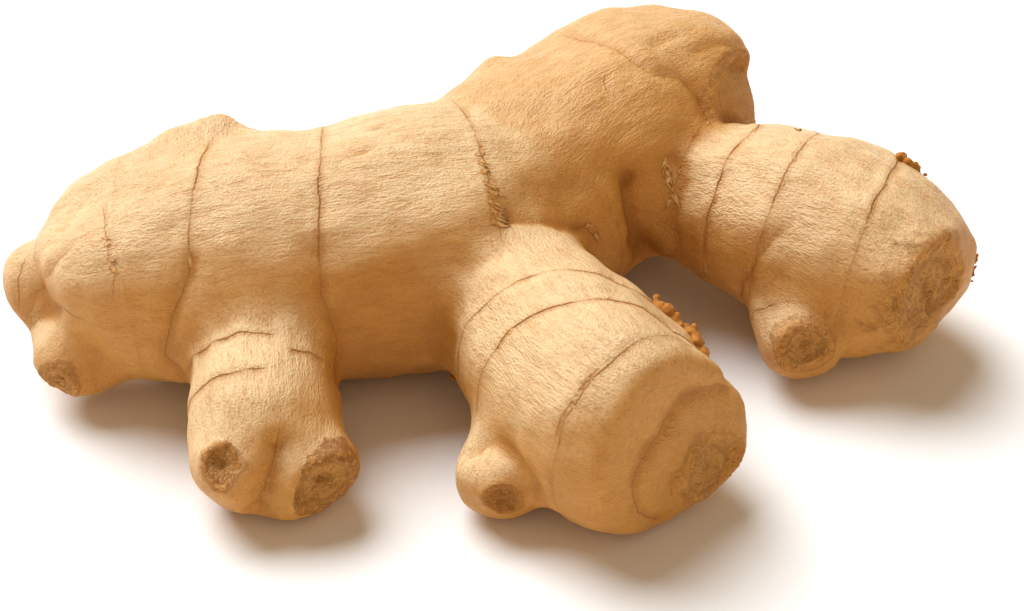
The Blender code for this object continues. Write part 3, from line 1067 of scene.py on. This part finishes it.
class GINGER_OT_grow_skin(bpy.types.Operator):
    """Grow the wrinkled skin with its rings and scars over the CAD solid"""

    bl_idname = "ginger.grow_skin"
    bl_label = "Grow Skin"

    def execute(self, context):
        settings = context.scene.ginger_skin
        skin = fine_copy(settings.voxel)
        mesh = skin.data
        write_points(mesh, nudged(read_points(mesh)))
        sculptor = Sculptor(mesh)
        sculptor.move(internode_bulges(sculptor, settings.ring_pinch))
        sculptor.move(wrinkle_heights(sculptor, settings.wrinkle_height))
        points, looks = scar_faces(sculptor)
        write_points(mesh, points)
        sculptor.measure()
        heights, gap, wear = ring_edges(sculptor, settings.ring_height)
        sculptor.move(heights)
        lift_to_floor(mesh)
        sculptor.measure()
        write_grain(sculptor)
        write_attribute(mesh, "ring_gap", "FLOAT", "POINT", gap / MM)
        write_attribute(mesh, "ring_wear", "FLOAT", "POINT", wear)
        for name, values in looks.items():
            write_attribute(mesh, name, "FLOAT", "POINT", values)
        write_attribute(mesh, "hollow", "FLOAT", "POINT", hollows(mesh))
        write_attribute(mesh, "painted_light", "FLOAT", "POINT", painted_light(sculptor))
        mesh.shade_smooth()
        mesh.materials.append(skin_material(settings))
        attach(skin, "root")
        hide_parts(NODE)
        return {"FINISHED"}


# ---------------------------------------------------------------- crusts and scraps


class Scraps:
    """Collects thin curved scraps that lie on the skin, then makes one piece."""

    def __init__(self, skin, seed):
        self.tree = skin_tree(skin.data)
        self.random = np.random.default_rng(seed)
        self.points = []
        self.faces = []
        self.spans = []

    def on_skin(self, point):
        spot, normal = self.tree.find_nearest(point)[:2]
        return np.array(spot), np.array(normal)

    def add(self, root, lie, length, width, lift, rows=5, columns=4):
        """One scrap from its root along lie, narrowing to a ragged free edge."""
        first = len(self.points)
        _, normal = self.on_skin(root)
        lie = unit(lie - normal * (lie @ normal))
        across = np.cross(normal, lie)
        edge = 1 + 0.35 * self.random.normal(size=columns + 1).clip(-1.5, 1.5)
        curl = lift * self.random.uniform(0.5, 1.5)
        taper = self.random.uniform(0.15, 0.6)
        for row in range(rows + 1):
            share = row / rows
            for column in range(columns + 1):
                side = (column / columns - 0.5) * width * (1 - taper * share**2)
                place = root + lie * (share * length * edge[column]) + across * side
                spot, out = self.on_skin(place)
                self.points.append(spot + out * (curl * share**1.5 - 0.06 * MM))
                self.spans.append(share)
        for row in range(rows):
            for column in range(columns):
                corner = first + row * (columns + 1) + column
                self.faces.append((corner, corner + columns + 1, corner + columns + 2, corner + 1))

    def make(self, name, material, thickness):
        mesh = bpy.data.meshes.new(name)
        mesh.from_pydata(self.points, [], self.faces)
        write_attribute(mesh, "scrap_span", "FLOAT", "POINT", self.spans)
        piece = bpy.data.objects.new(name, mesh)
        bpy.context.collection.objects.link(piece)
        solid = piece.modifiers.new("solid", "SOLIDIFY")
        solid.thickness = thickness
        solid.offset = 1.0
        apply_modifiers(piece)
        activate(piece)
        bpy.ops.object.mode_set(mode="EDIT")
        bpy.ops.mesh.select_all(action="SELECT")
        bpy.ops.mesh.normals_make_consistent(inside=False)
        bpy.ops.object.mode_set(mode="OBJECT")
        piece.data.shade_smooth()
        finish_piece(piece, material)


def finish_piece(piece, material):
    lift_to_floor(piece.data)
    piece.data.materials.append(material)
    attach(piece, "root")


class GINGER_OT_add_tufts(bpy.types.Operator):
    """Root papery scraps of old sheath at the nodes where the limbs meet"""

    bl_idname = "ginger.add_tufts"
    bl_label = "Add Tufts"

    def execute(self, context):
        scraps = Scraps(bpy.data.objects[SKIN], 3)
        for tuft in TUFTS:
            start, end = np.array(tuft.start, float) * MM, np.array(tuft.end, float) * MM
            for index in range(tuft.scraps):
                share = (index + scraps.random.uniform(0.1, 0.9)) / tuft.scraps
                root, _ = scraps.on_skin(start + (end - start) * share)
                lie = unit(np.array(tuft.lie)) + 0.3 * scraps.random.normal(size=3)
                size = scraps.random.uniform(0.6, 1.2, size=3)
                length, width, lift = tuft.length * MM, tuft.width * MM, tuft.lift * MM
                scraps.add(root, lie, length * size[0], width * size[1], lift * size[2])
        scraps.make("sheath_tufts", scrap_material(context.scene.ginger_skin), 0.10 * MM)
        return {"FINISHED"}


class GINGER_OT_add_ring_scales(bpy.types.Operator):
    """Lay the torn papery edges of old leaf sheaths along the rings"""

    bl_idname = "ginger.add_ring_scales"
    bl_label = "Add Ring Scales"

    def execute(self, context):
        scraps = Scraps(bpy.data.objects[SKIN], 5)
        for seed, ring in enumerate(RINGS):
            limb = LIMBS[ring.limb]
            step = 1.5 / (limb.at(limb.radii, ring.place * MM) / MM)
            turns = np.arange(-math.pi, math.pi, step)
            places, wears = ring_path(ring, seed, np.degrees(turns))
            for turn, place, wear in zip(turns, places, wears):
                if scraps.random.random() > 0.15 * wear:
                    continue
                spot, _ = limb.spot(place, turn)
                root, normal = scraps.on_skin(spot)
                if np.linalg.norm(root - spot) > 3.5 * MM:
                    continue
                lie = limb.at(limb.tangents, place) + 0.15 * scraps.random.normal(size=3)
                size = scraps.random.uniform(0.5, 1.3, size=3)
                scraps.add(root, lie, 0.6 * MM * size[0], 1.8 * MM * size[1], 0.05 * MM * size[2], 2, 4)
        scraps.make("ring_scales", scrap_material(context.scene.ginger_skin), 0.05 * MM)
        return {"FINISHED"}


class GINGER_OT_add_root_crusts(bpy.types.Operator):
    """Heap the crumbly remnants of roots on the skin"""

    bl_idname = "ginger.add_root_crusts"
    bl_label = "Add Root Crusts"

    def execute(self, context):
        tree = skin_tree(bpy.data.objects[SKIN].data)
        random = np.random.default_rng(11)
        grains = []
        for crust in CRUSTS:
            start, end = np.array(crust.start, float) * MM, np.array(crust.end, float) * MM
            for index in range(crust.grains):
                spot, normal = tree.find_nearest(start + (end - start) * (index + 0.5) / crust.grains)[:2]
                size = crust.size * MM
                centre = spot + normal * size * 0.3 + Vector(random.normal(size=3) * size * 0.4)
                deselect_all()
                bpy.ops.mesh.primitive_ico_sphere_add(
                    subdivisions=2, radius=size * random.uniform(0.5, 1.0), location=centre)
                grains.append(context.object)
        deselect_all()
        for grain in grains:
            grain.select_set(True)
        context.view_layer.objects.active = grains[0]
        bpy.ops.object.join()
        crusts = context.object
        crusts.name = "root_crusts"
        bpy.ops.object.transform_apply(location=True, rotation=True, scale=True)
        remesh = crusts.modifiers.new("fuse", "REMESH")
        remesh.mode = "VOXEL"
        remesh.voxel_size = 0.22 * MM
        apply_modifiers(crusts)
        points = read_points(crusts.data)
        heights = 0.18 * noise_at(points, 0.8 * MM, 90) + 0.06 * noise_at(points, 0.35 * MM, 91)
        write_points(crusts.data, points + read_normals(crusts.data) * heights[:, None] * MM)
        crusts.data.shade_smooth()
        finish_piece(crusts, crust_material(context.scene.ginger_skin))
        return {"FINISHED"}


# ---------------------------------------------------------------- stage


def aim(thing, target):
    """Turns a camera or light to look at a point."""
    thing.rotation_euler = (Vector(target) - thing.location).to_track_quat("-Z", "Y").to_euler()


def add_sun(name, strength, colour, spread, place):
    """A distant light that shines from place to the origin, spread in degrees."""
    light = bpy.data.lights.new(name, "SUN")
    light.energy = strength
    light.color = colour
    light.angle = math.radians(spread)
    sun = bpy.data.objects.new(name, light)
    sun.location = place
    bpy.context.collection.objects.link(sun)
    aim(sun, (0, 0, 0))


class GINGER_OT_set_stage(bpy.types.Operator):
    """Lay the pale floor and set the soft studio lights and the camera"""

    bl_idname = "ginger.set_stage"
    bl_label = "Set Stage"

    def execute(self, context):
        settings = context.scene.ginger_stage
        deselect_all()
        bpy.ops.mesh.primitive_plane_add(size=FLOOR_SIZE, location=(0, 0, 0))
        floor = context.object
        floor.name = "studio_floor"
        sheet = Sheet("studio_paper")
        floor.data.materials.append(sheet.finish(Base_Color=settings.floor_colour, Roughness=0.8))

        world = bpy.data.worlds.new("studio_sky")
        world.use_nodes = True
        sky = world.node_tree.nodes["Background"]
        sky.inputs["Color"].default_value = (*settings.sky_colour, 1)
        sky.inputs["Strength"].default_value = settings.sky_strength
        context.scene.world = world
        context.scene.view_settings.view_transform = "Standard"

        add_sun("key_light", settings.key_strength, settings.key_colour, KEY_SPREAD, KEY_PLACE)
        add_sun("fill_light", settings.fill_strength, settings.fill_colour, FILL_SPREAD, FILL_PLACE)

        back = Vector((0, -math.cos(settings.elevation), math.sin(settings.elevation)))
        data = bpy.data.cameras.new("camera")
        data.lens = settings.lens
        data.sensor_width = 36.0
        camera = bpy.data.objects.new("camera", data)
        camera.location = CAMERA_TARGET + back * settings.distance
        context.collection.objects.link(camera)
        aim(camera, CAMERA_TARGET)
        context.scene.camera = camera
        return {"FINISHED"}


class GINGER_PT_panel(bpy.types.Panel):
    """Lists the steps that grow the rhizome"""

    bl_idname = "GINGER_PT_panel"
    bl_label = "Fresh Ginger"
    bl_space_type = "VIEW_3D"
    bl_region_type = "UI"
    bl_category = "Ginger"

    def draw(self, context):
        for settings in (context.scene.ginger_skin, context.scene.ginger_stage):
            box = self.layout.box()
            for name in settings.__annotations__:
                box.prop(settings, name)
        for operator in OPERATORS:
            self.layout.operator(operator.bl_idname)


OPERATORS = (
    GINGER_OT_grow_skin,
    GINGER_OT_add_tufts,
    GINGER_OT_add_ring_scales,
    GINGER_OT_add_root_crusts,
    GINGER_OT_set_stage,
)
CLASSES = (GingerSkinSettings, GingerStageSettings, *OPERATORS, GINGER_PT_panel)


def register():
    for each in CLASSES:
        bpy.utils.register_class(each)
    bpy.types.Scene.ginger_skin = bpy.props.PointerProperty(type=GingerSkinSettings)
    bpy.types.Scene.ginger_stage = bpy.props.PointerProperty(type=GingerStageSettings)


def unregister():
    del bpy.types.Scene.ginger_stage
    del bpy.types.Scene.ginger_skin
    for each in reversed(CLASSES):
        bpy.utils.unregister_class(each)


def main():
    register()
    bpy.ops.ginger.grow_skin()
    bpy.ops.ginger.add_tufts()
    bpy.ops.ginger.add_ring_scales()
    bpy.ops.ginger.add_root_crusts()
    bpy.ops.ginger.set_stage()


if __name__ == "__main__":
    main()
